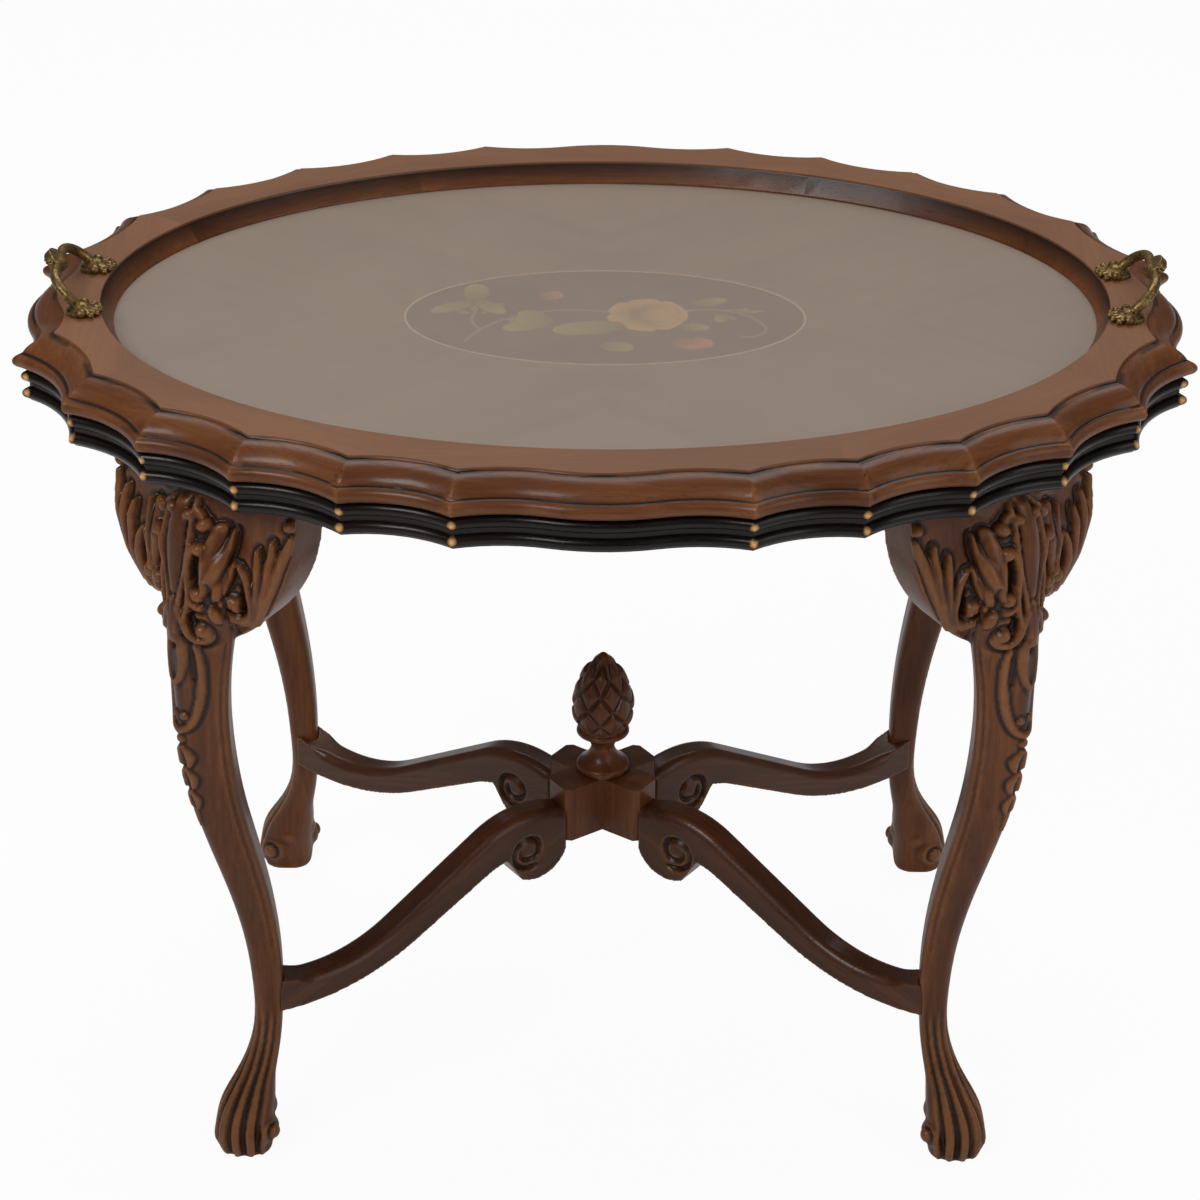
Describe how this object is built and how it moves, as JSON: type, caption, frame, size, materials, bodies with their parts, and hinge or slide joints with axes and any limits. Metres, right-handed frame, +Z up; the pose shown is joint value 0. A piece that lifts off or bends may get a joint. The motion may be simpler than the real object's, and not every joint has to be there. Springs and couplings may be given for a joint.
{
  "type": "tray top tea table",
  "caption": "Oval side table on carved cabriole legs with crossed scroll stretchers and a cone finial; its scalloped, glazed marquetry tray lifts off by handles.",
  "frame": {"origin": "on the floor under the middle of the table", "axes": "+X along the oval to the right hand handle, +Y to the back, +Z up"},
  "size_m": [0.8216, 0.5994, 0.6356],
  "materials": {
    "rim_walnut": "polished, mid brown walnut with rubbed edges",
    "glass": "clear plate glass",
    "core": "plain plywood panel",
    "stringing": "boxwood line, polished",
    "ground": "ebonised veneer, polished",
    "blooms": "stained maple veneer",
    "leaves": "green stained sycamore veneer",
    "brass": "cast, aged dark in the hollows",
    "steel": "dull steel",
    "dark_edge": "walnut shaded nearly black, rubbed at the points",
    "dowel_beech": "raw beech",
    "veneer": "quarter matched walnut veneer, polished",
    "walnut": "carved walnut, polished, dark in the hollows"
  },
  "bodies": {
    "table": {"table_edge": "dark_edge", "table_board": "core", "leg_dowels": "dowel_beech", "hub_tenons": "dowel_beech", "stretcher_hub": "walnut", "finial": "walnut", "leg_back_right": "walnut", "wing_back_right": "walnut", "wing_end_back_right": "walnut", "stretcher_back_right": "walnut", "leg_front_right": "walnut", "wing_front_right": "walnut", "wing_end_front_right": "walnut", "stretcher_front_right": "walnut", "leg_back_left": "walnut", "wing_back_left": "walnut", "wing_end_back_left": "walnut", "stretcher_back_left": "walnut", "leg_front_left": "walnut", "wing_front_left": "walnut", "wing_end_front_left": "walnut", "stretcher_front_left": "walnut"},
    "tray": {"tray_rim": "rim_walnut", "tray_glass": "glass", "tray_panel": "core", "inlay_stringing": "stringing", "inlay_ground": "ground", "inlay_blooms": "blooms", "inlay_leaves": "leaves", "inlay_stems": "leaves", "handle_right": "brass", "handle_left": "brass", "handle_screws": "steel", "veneer_back_right": "veneer", "veneer_front_right": "veneer", "veneer_back_left": "veneer", "veneer_front_left": "veneer"}
  },
  "joints": [
    {"name": "tray_lift", "type": "slide", "parent": "table", "child": "tray", "axis": [0, 0, 1], "range_m": [0, 0.12]}
  ]
}
